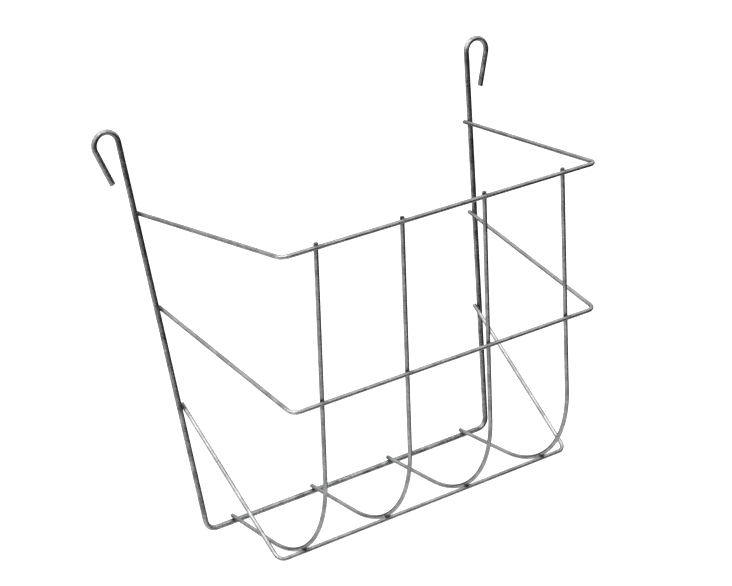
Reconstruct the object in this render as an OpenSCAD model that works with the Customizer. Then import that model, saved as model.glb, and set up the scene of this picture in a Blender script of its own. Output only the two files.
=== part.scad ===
// Wire hay rack feeder that hangs by two hooks on the wire wall of a small animal's cage.
// A hooked back frame carries three U-shaped hoops, and four bent ribs close the front and the floor.
// X runs across the rack, -Y out to its front and +Z up. The origin is midway between the two hooks,
// level with the crowns of their inner curves, where they bear on what they hang from.

/* [Wires] */
// Diameter of the back frame's wire
frame_d = 4; // [3.5:0.1:4.5]
// Diameter of the hoops' wire
hoop_d = 3; // [2.5:0.1:3.5]
// Diameter of the ribs' wire
rib_d = 3; // [2.5:0.1:3.5]

/* [Back frame] */
// Width of the frame at its bottom bar, between the uprights' axes
base_w = 252; // [245:1:270]
// Angle at which each upright leans outward as it rises
splay = 3.6; // [2:0.1:5]
// Height above the bottom bar at which the hooks start
upright_h = 300; // [280:1:330]
// Radius of the bends at the ends of the bottom bar, to the wire's axis
base_bend_r = 8; // [6:0.5:12]

/* [Hooks] */
// Radius of each hook's curve, to the wire's axis
hook_r = 9; // [7:0.5:12]
// Angle that each hook's curve turns through
hook_turn = 195; // [180:1:200]
// Length of the straight leg after each hook's curve
hook_leg = 26; // [15:1:30]

/* [Hoops] */
// Width of each hoop's front bar, between its arms' axes
hoop_w = 248; // [240:1:256]
// Radius of the hoops' corners, to the wire's axis
hoop_bend_r = 6; // [5:0.5:10]
// How far the ends of the hoops pass behind the uprights' axes
hoop_tail = 3; // [2:0.5:6]
// Distance of the top hoop's front bar from the back frame
top_depth = 172; // [165:1:180]
// Height of the top hoop, level from back to front
top_h = 247; // [240:1:255]
// Distance of the middle hoop's front bar from the back frame
middle_depth = 157; // [152:1:162]
// Height of the middle hoop's ends on the uprights
middle_back_h = 176; // [165:1:185]
// Height of the middle hoop's front bar
middle_front_h = 138; // [132:1:144]
// Distance of the lower hoop's front bar from the back frame
lower_depth = 106; // [100:1:112]
// Height of the lower hoop's ends on the uprights
lower_back_h = 100; // [90:1:110]

/* [Ribs] */
// Number of ribs
rib_count = 4; // [3:1:5]
// Distance between two ribs where they cross the bottom bar
rib_pitch_low = 69; // [50:1:72]
// Distance between two ribs where they cross the top hoop
rib_pitch_high = 65; // [50:1:68]
// Radius of the bend from the rack's floor up to its front, to the wire's axis
rib_bend_r = 88; // [80:1:95]
// How far the upper ends of the ribs stand above the top hoop's axis
rib_top_tail = 2.5; // [2:0.5:6]
// How far the rear ends of the ribs pass behind the bottom bar's axis
rib_rear_tail = 3; // [2:0.5:6]

/* [Welds] */
// Depth that two crossing wires are pressed into each other
weld_set = 0.2; // [0.1:0.05:0.4]
// Diameter of the bead of metal squeezed out around each weld
bead_d = 3.2; // [2.8:0.1:3.6]
// Thickness of that bead, across the gap between the two wires
bead_t = 1.4; // [1:0.1:1.8]

/* [Hidden] */
$fn = 48;
FINE = 256;

// A straight run stops just short of its bend, inside the sleeve that joins the two
junction_gap = 0.1;
junction_l = 0.6;
junction_swell = 0.1;

// Distances between the axes of two wires that are welded where they cross
upright_gap = (frame_d + hoop_d) / 2 - weld_set;
front_gap = (hoop_d + rib_d) / 2 - weld_set;
rear_gap = (frame_d + rib_d) / 2 - weld_set;

// The crown of the hooks' inner curves above the bottom bar
hang_h = upright_h + hook_r * (1 - sin(splay)) - frame_d / 2;

// The ribs' front is parallel to the plane through the top and middle front bars, and inside it
lean = atan2(top_depth - middle_depth, top_h - middle_front_h);
bend_h = rear_gap + rib_bend_r;
bend_depth = top_depth - (front_gap + rib_bend_r) / cos(lean) - (top_h - bend_h) * tan(lean);

// The lower hoop's front bar lies against the outside of the ribs' bend
lower_reach = lower_depth - bend_depth;
lower_front_h = bend_h - sqrt(pow(rib_bend_r + front_gap, 2) - pow(lower_reach, 2));

// Each hoop: [depth of its front bar, height of its front bar, height of its ends]
TOP = [top_depth, top_h, top_h];
MIDDLE = [middle_depth, middle_front_h, middle_back_h];
LOWER = [lower_depth, lower_front_h, lower_back_h];

function upright_x(h) = base_w / 2 + h * tan(splay);
function hoop_end_x(h) = upright_x(h) - upright_gap / cos(splay);
function hoop_run(hoop) = norm([hoop[0], hoop[2] - hoop[1]]);
function hoop_tilt(hoop) = atan2(hoop[2] - hoop[1], hoop[0]);
function arm_angle(hoop) = atan2(hoop_end_x(hoop[2]) - hoop_w / 2, hoop_run(hoop));
function bend_tangent(r, angle) = r * tan(angle / 2);
function rib_place(i) = i - (rib_count + 1) / 2;
function rib_lean(i) = atan2(rib_place(i) * (rib_pitch_high - rib_pitch_low), top_h);

// Moves the rack from its bottom bar's height to its hanging height
module hung() translate([0, 0, -hang_h]) children();

module both_sides() {
    children();
    mirror([1, 0, 0]) children();
}

// A straight run of wire along +X
module straight(d, length) rotate([0, 90, 0]) cylinder(d = d, h = length);

// A bend that starts along +X and turns towards +Y, or towards -Y for a negative angle
module bend(d, r, angle) {
    mirror([0, angle < 0 ? 1 : 0, 0])
        translate([0, r, 0])
            rotate([0, 0, -90])
                rotate_extrude(angle = abs(angle)) translate([r, 0]) circle(d = d);
}

// A sleeve hardly wider than the wire, where a straight run meets a bend
module junction(d) translate([-junction_l / 2, 0, 0]) straight(d + junction_swell, junction_l);

// A wire bent in the XY plane, from the origin along +X.
// Each step is [length of a straight run, radius of the bend after it, angle of that bend].
module bent_wire(d, steps, i = 0) {
    run = steps[i][0];
    r = steps[i][1];
    angle = steps[i][2];
    begin = i > 0 ? junction_gap : 0;
    end = i < len(steps) - 1 ? run - junction_gap : run;
    translate([begin, 0, 0]) straight(d, end - begin);
    if (i < len(steps) - 1)
        translate([run, 0, 0]) {
            junction(d);
            bend(d, r, angle);
            translate([r * sin(abs(angle)), sign(angle) * r * (1 - cos(angle)), 0])
                rotate([0, 0, angle]) {
                    junction(d);
                    bent_wire(d, steps, i + 1);
                }
        }
}

// The bottom bar, two uprights and two hooks, all one wire in the XZ plane
module back_frame_wire() {
    base_turn = 90 - splay;
    cut = bend_tangent(base_bend_r, base_turn);
    both_sides()
        rotate([90, 0, 0])
            bent_wire(frame_d, [
                [base_w / 2 - cut, base_bend_r, base_turn],
                [upright_h / cos(splay) - cut, hook_r, -hook_turn],
                [hook_leg, 0, 0]
            ]);
}

// A hoop's front bar and its two arms
module hoop_wire(hoop) {
    turn = 90 - arm_angle(hoop);
    cut = bend_tangent(hoop_bend_r, turn);
    arm = hoop_run(hoop) / cos(arm_angle(hoop));
    translate([0, -hoop[0], hoop[1]])
        rotate([hoop_tilt(hoop), 0, 0])
            both_sides()
                bent_wire(hoop_d, [
                    [hoop_w / 2 - cut, hoop_bend_r, turn],
                    [arm - cut + hoop_tail, 0, 0]
                ]);
}

// A rib's floor run, its bend and its front run
module rib_wire(i) {
    bend_end_h = bend_h - rib_bend_r * sin(lean);
    translate([rib_place(i) * rib_pitch_low, rib_rear_tail, 0])
        rotate([0, rib_lean(i), 0])
            translate([0, 0, rear_gap])
                rotate([90, 0, -90])
                    bent_wire(rib_d, [
                        [bend_depth + rib_rear_tail, rib_bend_r, 90 - lean],
                        [(top_h + rib_top_tail - bend_end_h) / cos(lean), 0, 0]
                    ]);
}

// The straight stretches that other wires are pressed against
module front_bar(hoop) {
    translate([-hoop_w / 2, -hoop[0], hoop[1]]) straight(hoop_d, hoop_w);
}

module arm(hoop) {
    translate([hoop_w / 2, -hoop[0], hoop[1]])
        rotate([hoop_tilt(hoop), 0, 0])
            rotate([0, 0, 90 - arm_angle(hoop)])
                straight(hoop_d, hoop_run(hoop) / cos(arm_angle(hoop)) + hoop_tail);
}

module bottom_bar() {
    translate([-base_w / 2, 0, 0]) straight(frame_d, base_w);
}

module upright() {
    translate([base_w / 2, 0, 0]) rotate([0, splay, 0]) cylinder(d = frame_d, h = upright_h);
}

// A hoop with the seats where its ends are pressed against the uprights
module hoop(shape) {
    difference() {
        hoop_wire(shape);
        both_sides() upright();
    }
}

// A rib with the seats where it is pressed against the bottom bar and the three front bars
module rib(i) {
    difference() {
        rib_wire(i);
        bottom_bar();
        front_bar(TOP);
        front_bar(MIDDLE);
        front_bar(LOWER);
    }
}

// A bead before the wires are cut from it: a disc that lies across the Z axis
module bead() cylinder(d = bead_d, h = bead_t, center = true);

// The beads between a hoop's two ends and the uprights
module hoop_end_welds(shape) {
    $fn = FINE;
    middle_x = upright_x(shape[2]) - (upright_gap - hoop_d / 2 + frame_d / 2) / 2;
    both_sides()
        difference() {
            translate([middle_x, 0, shape[2]]) rotate([0, 90 + splay, 0]) bead();
            arm(shape);
            upright();
        }
}

// The beads between every rib and a bar. The bar's axis is at the given depth and height, and the
// ribs lie on its far side along the given angle, measured from straight up towards the back.
module rib_welds(bar_d, depth, h, angle) {
    gap = (bar_d + rib_d) / 2 - weld_set;
    reach = (gap + (bar_d - rib_d) / 2) / 2;
    $fn = FINE;
    for (i = [1:rib_count])
        difference() {
            translate([rib_place(i) * rib_pitch_low + h * tan(rib_lean(i)), -depth, h])
                rotate([-angle, 0, 0])
                    translate([0, 0, reach]) bead();
            rib_wire(i);
            children();
        }
}

module front_rib_welds(hoop, angle) {
    rib_welds(hoop_d, hoop[0], hoop[1], angle) front_bar(hoop);
}

hung() color("silver") back_frame_wire();  // back_frame
hung() color("lightgray") hoop(TOP);  // top_hoop
hung() color("lightgray") hoop(MIDDLE);  // middle_hoop
hung() color("lightgray") hoop(LOWER);  // lower_hoop
for (i = [1:rib_count])
    hung() color("lightgray") rib(i);
hung() color("gray") hoop_end_welds(TOP);  // top_hoop_end_welds
hung() color("gray") hoop_end_welds(MIDDLE);  // middle_hoop_end_welds
hung() color("gray") hoop_end_welds(LOWER);  // lower_hoop_end_welds
hung() color("gray") front_rib_welds(TOP, 90 - lean);  // top_rib_welds
hung() color("gray") front_rib_welds(MIDDLE, 90 - lean);  // middle_rib_welds
hung() color("gray") front_rib_welds(LOWER, asin(lower_reach / (rib_bend_r + front_gap)));  // lower_rib_welds
hung() color("gray") rib_welds(frame_d, 0, 0, 0) bottom_bar();  // rear_rib_welds
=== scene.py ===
import math
import random

import bpy
import numpy as np
from mathutils import Matrix, Vector


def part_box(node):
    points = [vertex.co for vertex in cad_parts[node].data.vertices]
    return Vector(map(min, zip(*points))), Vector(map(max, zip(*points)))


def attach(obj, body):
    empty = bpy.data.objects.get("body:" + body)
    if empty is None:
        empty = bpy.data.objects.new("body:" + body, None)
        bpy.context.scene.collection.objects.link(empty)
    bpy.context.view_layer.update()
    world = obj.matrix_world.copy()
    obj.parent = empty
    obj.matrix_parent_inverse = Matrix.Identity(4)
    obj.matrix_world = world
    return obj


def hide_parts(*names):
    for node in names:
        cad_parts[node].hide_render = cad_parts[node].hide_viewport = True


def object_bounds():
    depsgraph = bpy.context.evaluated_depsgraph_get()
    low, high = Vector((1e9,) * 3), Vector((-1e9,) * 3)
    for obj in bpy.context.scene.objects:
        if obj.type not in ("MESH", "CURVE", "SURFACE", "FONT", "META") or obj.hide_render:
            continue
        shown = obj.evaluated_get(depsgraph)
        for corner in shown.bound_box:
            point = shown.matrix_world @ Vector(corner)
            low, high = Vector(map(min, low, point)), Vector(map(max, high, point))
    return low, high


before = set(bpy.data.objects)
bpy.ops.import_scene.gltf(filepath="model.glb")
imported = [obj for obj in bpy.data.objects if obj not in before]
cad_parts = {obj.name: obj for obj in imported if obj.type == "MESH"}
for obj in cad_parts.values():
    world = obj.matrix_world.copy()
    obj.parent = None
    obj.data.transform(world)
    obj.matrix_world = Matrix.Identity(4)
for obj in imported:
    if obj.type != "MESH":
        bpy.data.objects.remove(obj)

CAD_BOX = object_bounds()
RANDOM_SEED = 11

# ---- Sizes in metres and angles in radians ----
MM = 0.001

# Wires, as the CAD model has them
FRAME_R = 2.0 * MM
THIN_R = 1.5 * MM
SLEEVE = 0.05 * MM  # how far the CAD wires' joints stand proud of the wires
WELD_SET = 0.2 * MM
SPLAY = math.radians(3.6)
BASE_BEND_R = 8 * MM
HOOK_R = 9 * MM
HOOK_TURN = math.radians(195)
HOOK_LEG = 26 * MM
HOOP_W = 248 * MM
HOOP_BEND_R = 6 * MM
HOOP_TAIL = 3 * MM
RIB_BEND_R = 88 * MM
RIB_COUNT = 4
CLEAR_OF_BENDS = 20 * MM  # inside the ends of the uprights, where they are surely straight

# Meshes
SIDES = 24
STRAIGHT_STEP = 1.2 * MM
BEND_STEP = math.radians(4)
TIGHT_R = 12 * MM  # bends under this radius flatten and scuff the wire
BEAD_SIDES = 36

# The drawn wire's unevenness: number of waves, their shortest and longest, share of the radius
RIPPLE = (14, 3 * MM, 18 * MM)
RIPPLE_SHARE = 0.014
SWELL = (8, 25 * MM, 90 * MM)
SWELL_SHARE = 0.006
# Shares of the radius by which a tight bend is flattened and widened, and a wire swells at a weld
FLATTENED = 0.035
WIDENED = 0.02
UPSET = 0.025
UPSET_REACH = 2.2 * MM
BURR_H = 0.12 * MM  # the lip that the shears leave on one side of an end
BURR_WIDTH = 0.5  # in radians around the wire

# Welds
BEAD_R = 1.62 * MM
BEAD_BURIED = 0.3 * MM  # how deep the bead's two faces lie inside the wires
BEAD_OVERLAP = 0.12 * MM  # how far the bead's rim runs up each wire
HOLLOW = 0.12 * MM  # the rim's hollow: a part that is the same all round,
HOLLOW_SHARE = 0.34  # and a share of the gap between the wires
BURN_AND_SHADE_REACH = 3.1 * MM  # how far a weld's burn mark, with painted shade between the crossed wires, darkens its wires
BURN_AND_SHADE_DEPTH = 1.35  # how much faster the mark fades through a wire than along it

# Surfaces: noise features to the metre, and the drawn lines' width and length
PATCHES = 95
FLECKS = 520
LINES = (0.5 * MM, 9 * MM)
FINE_LINES = (0.09 * MM, 5 * MM)
WELD_SCALE = 900
WELD_SPLASHES = 2100

# Camera: direction, roll, distance, and where it aims beside the box's centre
CAMERA_TURN = math.radians(-30.11)
CAMERA_DOWN = math.radians(18.92)
CAMERA_ROLL = math.radians(-7.25)
CAMERA_DISTANCE = 1307.3 * MM
AIM_RIGHT = -16.7 * MM
AIM_UP = 13.6 * MM
LENS = 91.76
SENSOR = 36.0
CLIP_END = 200.0

# Brightness of the studio by the height of the direction, from -1 straight down to 1 straight up
STUDIO_LEVELS = (
    (-1.0, 0.02),
    (-0.10, 0.015),
    (0.02, 0.06),
    (0.14, 0.36),
    (0.32, 0.62),
    (0.60, 0.70),
    (1.0, 0.75),
)
# Paler patches of the studio: direction, half angles of the core and of the edge, brightness
STUDIO_PATCHES = (
    ((-0.82, 0.47, -0.32), math.radians(12), math.radians(34), 0.75),
    ((-0.45, -0.20, 0.87), math.radians(14), math.radians(48), 0.85),
)

FLOOR_DROP = 420 * MM
FLOOR_SIZE = 60.0
FLOOR_GLOW = 0.55
TABLE_R = 1.35  # the pale round table below the rack, which only the wires mirror
TABLE_AT = (-0.78, 0.0)
TABLE_RISE = 5 * MM
TABLE_SIDES = 64
TABLE_LEVEL = 0.52

# The lamp over the rack: place, target, size and watts
LAMP_AT = (0.1, -0.9, 1.5)
LAMP_AIM = (0, -0.08, -0.15)
LAMP_SIZE = (1.4, 0.9)
LAMP_POWER = 3


# ---- Paths: lists of (x, y, share of tight bend) in the wire's own plane ----
def bent_path(steps):
    """A wire bent in the XY plane, from the origin along +X.

    Each step is (straight run, radius of the bend after it, its turn to the left).
    """
    x, y, heading = 0.0, 0.0, 0.0
    points = [(x, y, 0.0)]
    for run, radius, turn in steps:
        count = max(1, math.ceil(run / STRAIGHT_STEP))
        for _ in range(count):
            x += run / count * math.cos(heading)
            y += run / count * math.sin(heading)
            points.append((x, y, 0.0))
        if not turn:
            continue
        count = math.ceil(abs(turn) / min(BEND_STEP, STRAIGHT_STEP / radius))
        part = turn / count
        chord = 2 * radius * math.sin(abs(part) / 2)
        tight = math.copysign(1.0 if radius < TIGHT_R else 0.0, turn)
        for _ in range(count):
            heading += part / 2
            x += chord * math.cos(heading)
            y += chord * math.sin(heading)
            heading += part / 2
            points.append((x, y, tight))
    return points


def both_sides(points):
    """The path and its mirror image in one, from the mirror image's far end."""
    return [(-x, y, tight) for x, y, tight in reversed(points[1:])] + points


def bend_cut(radius, turn):
    return radius * math.tan(turn / 2)


class Wire:
    """One wire: its centreline in the row frame, its plane and its radius."""

    def __init__(self, node, slot, radius, place, points):
        self.node = node
        self.slot = slot
        self.radius = radius
        flat = np.array([(x, y, 0.0) for x, y, _ in points])
        turn = np.array(place.to_3x3())
        self.points = flat @ turn.T + np.array(place.translation)
        self.normal = turn[:, 2]
        self.tight = np.array([tight for _, _, tight in points])
        ahead = np.gradient(self.points, axis=0)
        self.tangents = ahead / np.linalg.norm(ahead, axis=1)[:, None]
        steps = np.linalg.norm(np.diff(self.points, axis=0), axis=1)
        self.along = np.concatenate([[0.0], np.cumsum(steps)])


# ---- The wires, placed from the frame ----
def centre(node):
    low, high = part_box(node)
    return (low + high) / 2


def back_frame():
    low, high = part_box("back_frame")
    bar_z = low.z + FRAME_R + SLEEVE
    hook_x = high.x - HOOK_R - FRAME_R
    hook_h = high.z - HOOK_R - FRAME_R - bar_z
    start_h = hook_h + HOOK_R * math.sin(SPLAY)
    base_x = hook_x - HOOK_R * math.cos(SPLAY) - start_h * math.tan(SPLAY)
    turn = math.radians(90) - SPLAY
    cut = bend_cut(BASE_BEND_R, turn)
    steps = [
        (base_x - cut, BASE_BEND_R, turn),
        (start_h / math.cos(SPLAY) - cut, HOOK_R, -HOOK_TURN),
        (HOOK_LEG, 0.0, 0.0),
    ]
    place = Matrix.Translation((0, 0, bar_z)) @ Matrix.Rotation(math.radians(90), 4, "X")
    return Wire("back_frame", "frame_wire", FRAME_R, place, both_sides(bent_path(steps)))


def upright_x(back, z):
    """The right upright's axis at a height, found from its straight run."""
    right = back.points[(back.points[:, 0] > 0) & (back.tight == 0)]
    foot = back.points[:, 2].min() + CLEAR_OF_BENDS
    upright = right[(right[:, 2] > foot) & (right[:, 2] < -CLEAR_OF_BENDS)]
    return float(np.interp(z, upright[:, 2], upright[:, 0]))


def hoop(name, back):
    low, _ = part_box(name)
    depth = -low.y - THIN_R - SLEEVE
    back_z = centre(name + "_end_welds").z
    front_z = low.z + THIN_R + SLEEVE
    gap = (FRAME_R + THIN_R - WELD_SET) / math.cos(SPLAY)
    end_x = upright_x(back, back_z) - gap
    run = math.hypot(depth, back_z - front_z)
    tilt = math.atan2(back_z - front_z, depth)
    outward = math.atan2(end_x - HOOP_W / 2, run)
    turn = math.radians(90) - outward
    cut = bend_cut(HOOP_BEND_R, turn)
    steps = [
        (HOOP_W / 2 - cut, HOOP_BEND_R, turn),
        (run / math.cos(outward) - cut + HOOP_TAIL, 0.0, 0.0),
    ]
    place = Matrix.Translation((0, -depth, front_z)) @ Matrix.Rotation(tilt, 4, "X")
    wire = Wire(name, "thin_wire", THIN_R, place, both_sides(bent_path(steps)))
    wire.depth, wire.front_z = depth, front_z
    return wire


def rib(name, top, middle):
    low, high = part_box(name)
    foot_z = low.z + THIN_R + SLEEVE
    side = math.copysign(1.0, low.x + high.x)
    foot_x = (high.x if side > 0 else low.x) - side * (THIN_R + SLEEVE)
    head_x = (low.x if side > 0 else high.x) + side * THIN_R
    slope = math.atan2(top.depth - middle.depth, top.front_z - middle.front_z)
    head_z = high.z - THIN_R * math.sin(slope)
    lean = math.atan2(head_x - foot_x, head_z - foot_z)
    bend_end_z = foot_z + RIB_BEND_R * (1 - math.sin(slope))
    gap = 2 * THIN_R - WELD_SET
    front_depth = top.depth - gap / math.cos(slope)
    level_z = foot_z + RIB_BEND_R
    bend_depth = front_depth - RIB_BEND_R / math.cos(slope)
    bend_depth -= (top.front_z - level_z) * math.tan(slope)
    steps = [
        (high.y + bend_depth, RIB_BEND_R, math.radians(90) - slope),
        ((head_z - bend_end_z) / math.cos(slope), 0.0, 0.0),
    ]
    flat = Matrix(((0, 0, -1), (-1, 0, 0), (0, 1, 0))).to_4x4()
    place = Matrix.Translation((foot_x, high.y, foot_z)) @ Matrix.Rotation(lean, 4, "Y") @ flat
    return Wire(name, "thin_wire", THIN_R, place, bent_path(steps))


# ---- Welds ----
class Weld:
    """Where two wires are pressed into each other."""

    def __init__(self, name, node, wire_a, wire_b, beyond=None):
        a, b = wire_a.points, wire_b.points
        near_b = np.ones(len(b), bool) if beyond is None else beyond(b)
        distance = np.linalg.norm(a[:, None, :] - b[None, :, :], axis=2)
        distance[:, ~near_b] = np.inf
        i, j = np.unravel_index(np.argmin(distance), distance.shape)
        along_a, along_b = wire_a.tangents[i], wire_b.tangents[j]
        across = np.cross(along_a, along_b)
        across /= np.linalg.norm(across)
        if np.dot(b[j] - a[i], across) < 0:
            across = -across
        step = np.linalg.solve(np.array([along_a, -along_b, across]).T, b[j] - a[i])
        point_a = a[i] + step[0] * along_a
        self.name = name
        self.node = node
        self.wires = (wire_a, wire_b)
        self.axes = (along_a, along_b, across)
        self.point = point_a + across * (wire_a.radius - WELD_SET / 2)


def waves(rng, count, low, high):
    """A smooth random field over a ring's angle and the length along it, from -1 to 1."""
    terms = [
        (rng.randint(0, 3), rng.uniform(low, high), rng.uniform(0, 2 * math.pi), rng.uniform(0.5, 1))
        for _ in range(count)
    ]
    total = sum(size for _, _, _, size in terms)

    def field(angle, along):
        value = sum(
            size * np.sin(turns * angle + 2 * math.pi * along / length + phase)
            for turns, length, phase, size in terms
        )
        return value / total

    return field


# ---- Meshes ----
def add_piece(name, node, vertices, faces, material):
    mesh = bpy.data.meshes.new(name)
    mesh.from_pydata([tuple(v) for v in vertices], [], faces)
    mesh.validate()
    mesh.polygons.foreach_set("use_smooth", [True] * len(mesh.polygons))
    mesh.materials.append(material)
    piece = bpy.data.objects.new(name, mesh)
    bpy.context.scene.collection.objects.link(piece)
    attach(piece, "root")
    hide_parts(node)
    return piece


def add_number(mesh, name, values):
    attribute = mesh.attributes.new(name, "FLOAT", "POINT")
    attribute.data.foreach_set("value", np.asarray(values, np.float32))


def end_profile(wire, rng, angles):
    """Rings that close a sheared end: (share of the radius, distance past the end)."""
    lean = rng.uniform(0.06, 0.16)
    first = rng.uniform(0, 2 * math.pi)
    burr_at = first + math.pi + rng.uniform(-0.3, 0.3)
    slant = lean * wire.radius * np.cos(angles - first)
    apart = np.abs((angles - burr_at + math.pi) % (2 * math.pi) - math.pi)
    burr = BURR_H * np.exp(-((apart / BURR_WIDTH) ** 2))
    return [
        (1.0, slant - 0.16 * MM),
        (0.985, slant - 0.07 * MM + burr * 0.6),
        (0.93, slant * 0.95 + burr),
        (0.8, slant * 0.8 - 0.03 * MM),
        (0.4, slant * 0.4 - 0.06 * MM),
    ]


def sweep(wire, rng, welds, material):
    """The wire as a fine closed tube with drawn waviness, flattened bends and sheared ends."""
    angles = np.arange(SIDES) * 2 * math.pi / SIDES
    sideways = np.cross(wire.normal, wire.tangents)
    ripple = waves(rng, *RIPPLE)
    swell = waves(rng, *SWELL)
    length = wire.along[-1]
    tight = np.convolve(wire.tight, np.ones(5) / 5, mode="same")
    near = np.zeros(len(wire.points))
    for weld in welds:
        if wire in weld.wires:
            gap = np.linalg.norm(wire.points - weld.point, axis=1)
            near = np.maximum(near, np.exp(-((gap / UPSET_REACH) ** 2)))
    rings, wear = [], []
    for i, centre_point in enumerate(wire.points):
        along = wire.along[i]
        share = 1 + RIPPLE_SHARE * ripple(angles, along) + SWELL_SHARE * swell(angles, along)
        flat = abs(tight[i])
        share -= FLATTENED * flat * np.cos(angles) ** 2
        share += WIDENED * flat * np.sin(angles) ** 2 + UPSET * near[i]
        out = np.cos(angles)[:, None] * sideways[i] + np.sin(angles)[:, None] * wire.normal
        rings.append(centre_point + out * (wire.radius * share)[:, None])
        wear.append(np.clip(-np.sign(tight[i]) * np.cos(angles), 0, 1) * flat)
    profile = end_profile(wire, rng, angles)
    starts, ends = [], []
    for share, past in profile:
        for rings_at, index, way in ((starts, 0, -1.0), (ends, -1, 1.0)):
            out = np.cos(angles)[:, None] * sideways[index]
            out = out + np.sin(angles)[:, None] * wire.normal
            ring = wire.points[index] + out * wire.radius * share
            rings_at.append(ring + way * np.outer(past, wire.tangents[index]))
    rings = starts[::-1] + rings[1:-1] + ends
    extra = len(profile) - 1
    wear = [wear[0]] * extra + wear + [wear[-1]] * extra
    along = [0.0] * extra + list(wire.along) + [length] * extra
    vertices = np.concatenate(rings)
    caps = [rings[0].mean(axis=0), rings[-1].mean(axis=0)]
    vertices = np.vstack([vertices, caps])
    faces = []
    for k in range(len(rings) - 1):
        for j in range(SIDES):
            n = (j + 1) % SIDES
            faces.append((k * SIDES + j, k * SIDES + n, (k + 1) * SIDES + n, (k + 1) * SIDES + j))
    last = (len(rings) - 1) * SIDES
    first_cap, last_cap = len(vertices) - 2, len(vertices) - 1
    for j in range(SIDES):
        n = (j + 1) % SIDES
        faces.append((first_cap, n, j))
        faces.append((last_cap, last + j, last + n))
    piece = add_piece(wire.node + "_wire", wire.node, vertices, faces, material)
    burn_and_shade = np.zeros(len(vertices))
    for weld in welds:
        if wire in weld.wires:
            away = vertices - weld.point
            across = weld.axes[2]
            away += (BURN_AND_SHADE_DEPTH - 1) * np.outer(away @ across, across)
            gap = np.linalg.norm(away, axis=1)
            burn_and_shade = np.maximum(burn_and_shade, np.exp(-((gap / BURN_AND_SHADE_REACH) ** 2)))
    # Burn marks plus painted shade in the gap between the crossed wires; not named "heat", because
    # Cycles keeps that name for smoke
    add_number(piece.data, "burn", burn_and_shade)
    add_number(piece.data, "wear", np.concatenate([np.concatenate(wear), [0.0, 0.0]]))
    add_uv(piece.data, len(rings), along, 2 * math.pi * wire.radius)
    return piece


def add_uv(mesh, ring_count, along, girth):
    """U runs once around the wire and V along it, both in metres."""
    layer = mesh.uv_layers.new(name="wire")
    corner = np.empty(len(mesh.loops), np.int64)
    mesh.loops.foreach_get("vertex_index", corner)
    ring = np.minimum(corner // SIDES, ring_count - 1)
    side = corner % SIDES
    u = side / SIDES * girth
    v = np.array(along)[ring]
    # The quads that close the ring end at a full turn
    for polygon in mesh.polygons:
        loops = list(polygon.loop_indices)
        if len(loops) == 4 and {int(side[k]) for k in loops} == {0, SIDES - 1}:
            for k in loops:
                if side[k] == 0:
                    u[k] = girth
    layer.data.foreach_set("uv", np.column_stack([u, v]).ravel())


def bead(weld, rng, material):
    """The metal squeezed out between two crossed wires, with a hollow rim and a ragged edge."""
    radius_a, radius_b = (wire.radius for wire in weld.wires)
    along_a, along_b, across = weld.axes
    side = np.cross(across, along_a)
    half_set = WELD_SET / 2
    angles = np.arange(BEAD_SIDES) * 2 * math.pi / BEAD_SIDES
    ragged = waves(rng, 7, 1.0, 2.0)
    ragged_more = waves(rng, 5, 0.5, 1.2)
    reach = BEAD_R * (1 + 0.07 * ragged(angles * 2, 0.0) + 0.05 * ragged_more(angles * 4, 0.0))

    def surfaces(distance):
        """Heights of the two wires' surfaces at that distance from the weld's middle."""
        way = np.cos(angles)[:, None] * along_a + np.sin(angles)[:, None] * side
        off_a = distance * np.sqrt(np.clip(1 - (way @ along_a) ** 2, 0, 1))
        off_b = distance * np.sqrt(np.clip(1 - (way @ along_b) ** 2, 0, 1))
        low = half_set - radius_a + np.sqrt(np.clip(radius_a**2 - off_a**2, 0, None))
        high = radius_b - half_set - np.sqrt(np.clip(radius_b**2 - off_b**2, 0, None))
        return way, low, high

    rings = []
    for share in (0.35, 0.7, 0.92):
        way, low, _ = surfaces(reach * share)
        rings.append((way, reach * share, low - BEAD_BURIED))
    way, low, high = surfaces(reach)
    middle, half = (low + high) / 2, (high - low) / 2
    for t in (-1.0, -0.75, -0.4, 0.0, 0.4, 0.75, 1.0):
        hollow = HOLLOW + HOLLOW_SHARE * half
        distance = reach - hollow * (1 - t * t)
        rings.append((way, distance, middle + t * (half + BEAD_OVERLAP)))
    for share in (0.92, 0.7, 0.35):
        way, _, high = surfaces(reach * share)
        rings.append((way, reach * share, high + BEAD_BURIED))
    vertices = []
    for way, distance, height in rings:
        flat = weld.point + way * np.broadcast_to(distance, angles.shape)[:, None]
        vertices.append(flat + np.outer(height, across))
    count = len(vertices)
    poles = [vertices[0].mean(axis=0), vertices[-1].mean(axis=0)]
    vertices = np.vstack([np.concatenate(vertices), poles])
    faces = []
    for k in range(count - 1):
        for j in range(BEAD_SIDES):
            n = (j + 1) % BEAD_SIDES
            first, second = k * BEAD_SIDES, (k + 1) * BEAD_SIDES
            faces.append((first + j, first + n, second + n, second + j))
    last = (count - 1) * BEAD_SIDES
    for j in range(BEAD_SIDES):
        n = (j + 1) % BEAD_SIDES
        faces.append((len(vertices) - 2, n, j))
        faces.append((len(vertices) - 1, last + j, last + n))
    return add_piece(weld.name, weld.node, vertices, faces, material)


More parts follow.
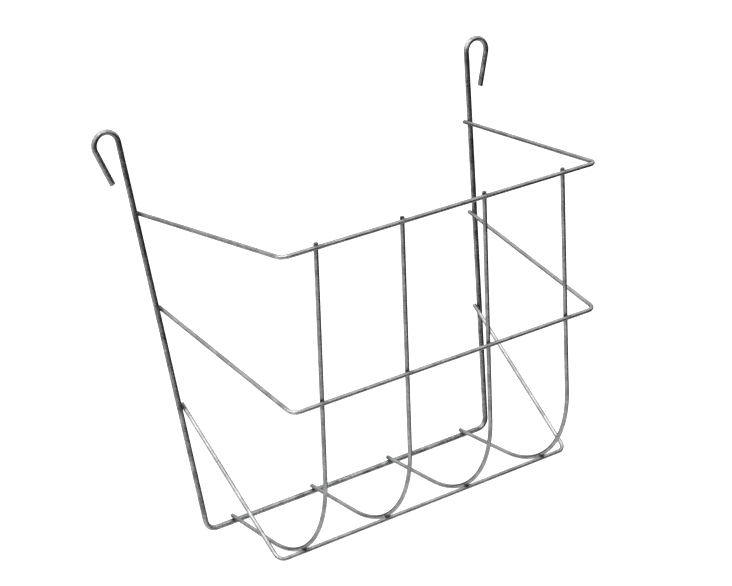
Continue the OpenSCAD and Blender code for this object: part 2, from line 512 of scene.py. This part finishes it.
# ---- Materials ----
class Nodes:
    """Short calls for building one material's node tree."""

    def __init__(self, name):
        self.material = bpy.data.materials.new(name)
        self.material.use_nodes = True
        self.tree = self.material.node_tree
        self.shader = self.tree.nodes["Principled BSDF"]

    def add(self, kind, settings=None, **inputs):
        node = self.tree.nodes.new("ShaderNode" + kind)
        for name, value in (settings or {}).items():
            setattr(node, name, value)
        for name, value in inputs.items():
            self.link(value, node.inputs[name.replace("_", " ")])
        return node

    def link(self, value, socket):
        if isinstance(value, bpy.types.NodeSocket):
            self.tree.links.new(value, socket)
        else:
            socket.default_value = value

    def noise(self, vector, scale, detail, roughness=0.55):
        node = self.add("TexNoise", Vector=vector, Scale=scale, Detail=detail, Roughness=roughness)
        return node.outputs["Fac"]

    def spread(self, value, low, high, to_low=0.0, to_high=1.0):
        """A value's range from low to high, stretched to another range."""
        node = self.add("MapRange")
        for socket, given in zip(node.inputs[:5], (value, low, high, to_low, to_high)):
            self.link(given, socket)
        return node.outputs["Result"]

    def maths(self, operation, first, second):
        node = self.add("Math", {"operation": operation})
        self.link(first, node.inputs[0])
        self.link(second, node.inputs[1])
        return node.outputs[0]

    def mix(self, share, first, second):
        node = self.add("Mix", {"data_type": "RGBA"})
        self.link(share, node.inputs[0])
        self.link(first, node.inputs[6])
        self.link(second, node.inputs[7])
        return node.outputs[2]

    def attribute(self, name):
        return self.add("Attribute", {"attribute_name": name}).outputs["Fac"]

    def stretched(self, around, along):
        """The wire's own coordinates with features of those lengths around and along it."""
        uv = self.add("UVMap", {"uv_map": "wire"}).outputs["UV"]
        mapping = self.add("Mapping", Vector=uv, Scale=(1 / around, 1 / along, 1.0))
        return mapping.outputs["Vector"]

    def finish(self, colour, roughness, height, depth):
        bump = self.add("Bump", Height=height, Distance=depth)
        self.link(colour, self.shader.inputs["Base Color"])
        self.link(roughness, self.shader.inputs["Roughness"])
        self.link(bump.outputs["Normal"], self.shader.inputs["Normal"])
        return self.material


def grey(level, warm=0.0):
    return (level * (1 + warm), level, level * (1 - warm), 1.0)


def zinc_wire(name, light, dark, rough, relief):
    """Zinc-coated drawn wire: patchy brightness, lines along it, dark burn marks and painted shade at
    the welds.
    """
    n = Nodes(name)
    place = n.add("TexCoord").outputs["Object"]
    patches = n.spread(n.noise(place, PATCHES, 3), 0.38, 0.62)
    flecks = n.spread(n.noise(place, FLECKS, 4, 0.7), 0.42, 0.60)
    lines = n.spread(n.noise(n.stretched(*LINES), 1.0, 3), 0.38, 0.62)
    fine_lines = n.noise(n.stretched(*FINE_LINES), 1.0, 2)
    tone = n.maths("ADD", n.maths("MULTIPLY", patches, 0.40), n.maths("MULTIPLY", lines, 0.30))
    tone = n.maths("ADD", tone, n.maths("MULTIPLY", flecks, 0.30))
    colour = n.mix(tone, grey(dark, -0.01), grey(light, -0.012))
    worn = n.maths("MULTIPLY", n.attribute("wear"), n.spread(flecks, 0.2, 0.8, 0.25, 0.8))
    colour = n.mix(worn, colour, grey(min(0.92, light * 1.15)))
    # Near-black at the welds: a burn mark, and painted shade for the gap between the crossed wires
    burnt_and_shaded = n.maths("MULTIPLY", n.attribute("burn"), n.spread(flecks, 0.0, 1.0, 1.7, 0.8))
    burnt_and_shaded = n.maths("MINIMUM", burnt_and_shaded, 1.0)
    colour = n.mix(burnt_and_shaded, colour, grey(0.010, 0.06))
    roughness = n.spread(tone, 0.0, 1.0, rough + 0.14, rough - 0.06)
    roughness = n.maths("ADD", roughness, n.maths("MULTIPLY", burnt_and_shaded, 0.22))
    n.link(n.spread(burnt_and_shaded, 0.0, 1.0, 1.0, 0.7), n.shader.inputs["Metallic"])
    height = n.maths("ADD", n.maths("MULTIPLY", lines, 0.5), n.maths("MULTIPLY", fine_lines, 0.2))
    height = n.maths("ADD", height, n.maths("MULTIPLY", flecks, 0.5))
    return n.finish(colour, roughness, height, relief)


def weld_metal():
    """Upset metal: dark scale with brighter zinc splashes and a coarse skin."""
    n = Nodes("weld_metal")
    place = n.add("TexCoord").outputs["Object"]
    scale = n.spread(n.noise(place, WELD_SCALE, 5, 0.65), 0.35, 0.65)
    splash = n.spread(n.noise(place, WELD_SPLASHES, 2), 0.56, 0.68)
    colour = n.mix(scale, grey(0.03, 0.08), grey(0.13, 0.03))
    colour = n.mix(n.maths("MULTIPLY", splash, 0.7), colour, grey(0.42))
    roughness = n.spread(scale, 0.0, 1.0, 0.62, 0.42)
    n.shader.inputs["Metallic"].default_value = 0.7
    return n.finish(colour, roughness, scale, 0.08 * MM)


# ---- Studio ----
def camera_axes():
    """The camera's right, up and backward directions."""
    right = Vector((math.cos(CAMERA_TURN), math.sin(CAMERA_TURN), 0))
    ahead = Vector((-math.sin(CAMERA_TURN), math.cos(CAMERA_TURN), 0)) * math.cos(CAMERA_DOWN)
    ahead.z = -math.sin(CAMERA_DOWN)
    roll = Matrix.Rotation(-CAMERA_ROLL, 3, -ahead)
    right = roll.inverted() @ right
    return right, right.cross(ahead), -ahead


def add_camera():
    right, up, back = camera_axes()
    middle = (CAD_BOX[0] + CAD_BOX[1]) / 2
    aim = middle + AIM_RIGHT * right + AIM_UP * up
    data = bpy.data.cameras.new("camera")
    data.lens = LENS
    data.sensor_width = SENSOR
    data.clip_end = CLIP_END
    camera = bpy.data.objects.new("camera", data)
    axes = Matrix((right, up, back)).transposed().to_4x4()
    camera.matrix_world = Matrix.Translation(aim + back * CAMERA_DISTANCE) @ axes
    bpy.context.scene.collection.objects.link(camera)
    bpy.context.scene.camera = camera


def area_light(name, position, aim, size, power):
    data = bpy.data.lights.new(name, "AREA")
    data.shape = "RECTANGLE"
    data.size, data.size_y = size
    data.energy = power
    light = bpy.data.objects.new(name, data)
    light.location = position
    light.rotation_euler = (Vector(aim) - Vector(position)).to_track_quat("-Z", "Y").to_euler()
    bpy.context.scene.collection.objects.link(light)


def add_world():
    """What the wires mirror: a dark room, a soft ceiling and two pale patches. The camera sees white."""
    world = bpy.data.worlds.new("studio")
    bpy.context.scene.world = world
    world.use_nodes = True
    tree = world.node_tree
    direction = tree.nodes.new("ShaderNodeTexCoord").outputs["Generated"]
    parts = tree.nodes.new("ShaderNodeSeparateXYZ")
    tree.links.new(direction, parts.inputs["Vector"])
    height = tree.nodes.new("ShaderNodeMapRange")
    height.inputs["From Min"].default_value = -1.0
    tree.links.new(parts.outputs["Z"], height.inputs["Value"])
    ramp = tree.nodes.new("ShaderNodeValToRGB")
    tree.links.new(height.outputs["Result"], ramp.inputs["Fac"])
    ramp.color_ramp.elements[0].position = 0.0
    ramp.color_ramp.elements[1].position = 1.0
    for z, _ in STUDIO_LEVELS[1:-1]:
        ramp.color_ramp.elements.new((z + 1) / 2)
    for element, (_, level) in zip(ramp.color_ramp.elements, STUDIO_LEVELS):
        element.color = (level, level, level, 1)
    light = ramp.outputs["Color"]
    for toward, core, edge, level in STUDIO_PATCHES:
        facing = tree.nodes.new("ShaderNodeVectorMath")
        facing.operation = "DOT_PRODUCT"
        tree.links.new(direction, facing.inputs[0])
        facing.inputs[1].default_value = Vector(toward).normalized()
        patch = tree.nodes.new("ShaderNodeMapRange")
        patch.interpolation_type = "SMOOTHSTEP"
        tree.links.new(facing.outputs["Value"], patch.inputs["Value"])
        patch.inputs["From Min"].default_value = math.cos(edge)
        patch.inputs["From Max"].default_value = math.cos(core)
        patch.inputs["To Max"].default_value = level
        total = tree.nodes.new("ShaderNodeVectorMath")
        tree.links.new(light, total.inputs[0])
        tree.links.new(patch.outputs["Result"], total.inputs[1])
        light = total.outputs["Vector"]
    mirrored = tree.nodes["Background"]
    tree.links.new(light, mirrored.inputs["Color"])
    seen = tree.nodes.new("ShaderNodeBackground")
    seen.inputs["Color"].default_value = (1, 1, 1, 1)
    paths = tree.nodes.new("ShaderNodeLightPath")
    either = tree.nodes.new("ShaderNodeMixShader")
    tree.links.new(paths.outputs["Is Camera Ray"], either.inputs[0])
    tree.links.new(mirrored.outputs["Background"], either.inputs[1])
    tree.links.new(seen.outputs["Background"], either.inputs[2])
    tree.links.new(either.outputs["Shader"], tree.nodes["World Output"].inputs["Surface"])


def add_floor():
    mesh = bpy.data.meshes.new("floor")
    half, z = FLOOR_SIZE / 2, CAD_BOX[0].z - FLOOR_DROP
    corners = [(-half, -half, z), (half, -half, z), (half, half, z), (-half, half, z)]
    mesh.from_pydata(corners, [], [(0, 1, 2, 3)])
    n = Nodes("floor_paint")
    place = n.add("TexCoord").outputs["Object"]
    tone = n.noise(place, 3.0, 4)
    n.link(n.mix(tone, grey(0.93), grey(0.96)), n.shader.inputs["Base Color"])
    n.shader.inputs["Roughness"].default_value = 0.9
    n.shader.inputs["Emission Color"].default_value = (1, 1, 1, 1)
    n.shader.inputs["Emission Strength"].default_value = FLOOR_GLOW
    mesh.materials.append(n.material)
    floor = bpy.data.objects.new("floor", mesh)
    floor.visible_glossy = False
    bpy.context.scene.collection.objects.link(floor)


def add_table():
    """A pale disc on the floor, seen only in the wires: their lower parts mirror more of it."""
    z = CAD_BOX[0].z - FLOOR_DROP + TABLE_RISE
    turns = [2 * math.pi * k / TABLE_SIDES for k in range(TABLE_SIDES)]
    x, y = TABLE_AT
    rim = [(x + TABLE_R * math.cos(turn), y + TABLE_R * math.sin(turn), z) for turn in turns]
    mesh = bpy.data.meshes.new("table")
    mesh.from_pydata(rim, [], [tuple(range(TABLE_SIDES))])
    n = Nodes("table_paper")
    n.shader.inputs["Base Color"].default_value = grey(0.0)
    n.shader.inputs["Emission Color"].default_value = grey(1.0)
    n.shader.inputs["Emission Strength"].default_value = TABLE_LEVEL
    mesh.materials.append(n.material)
    table = bpy.data.objects.new("table", mesh)
    table.visible_camera = False
    table.visible_diffuse = False
    table.visible_shadow = False
    bpy.context.scene.collection.objects.link(table)


def on_side(way):
    """A test for the points to the left, with way at -1, or to the right, with way at 1."""
    return lambda points: points[:, 0] * way > 0


# ---- The object ----
rng = random.Random(RANDOM_SEED)
back = back_frame()
hoops = [hoop(name, back) for name in ("top_hoop", "middle_hoop", "lower_hoop")]
ribs = [rib(f"rib_{i + 1}", hoops[0], hoops[1]) for i in range(RIB_COUNT)]

welds = []
for wire in hoops:
    for side, way in (("left", -1), ("right", 1)):
        name = wire.node.replace("_hoop", "") + f"_end_weld_{side}"
        welds.append(Weld(name, wire.node + "_end_welds", back, wire, on_side(way)))
for wire in hoops:
    level = wire.node.replace("_hoop", "")
    for i, rib_wire in enumerate(ribs):
        welds.append(Weld(f"{level}_rib_weld_{i + 1}", f"{level}_rib_welds", wire, rib_wire))
for i, rib_wire in enumerate(ribs):
    welds.append(Weld(f"rear_rib_weld_{i + 1}", "rear_rib_welds", back, rib_wire))

frame_zinc = zinc_wire("frame_zinc", 0.80, 0.10, 0.10, 0.13 * MM)
thin_zinc = zinc_wire("thin_zinc", 0.76, 0.30, 0.15, 0.08 * MM)
weld_grey = weld_metal()
for wire in [back] + hoops + ribs:
    sweep(wire, rng, welds, frame_zinc if wire is back else thin_zinc)
for weld in welds:
    bead(weld, rng, weld_grey)

# ---- The scene ----
add_camera()
add_world()
add_floor()
add_table()
area_light("overhead", LAMP_AT, LAMP_AIM, LAMP_SIZE, LAMP_POWER)
bpy.context.scene.view_settings.view_transform = "Standard"
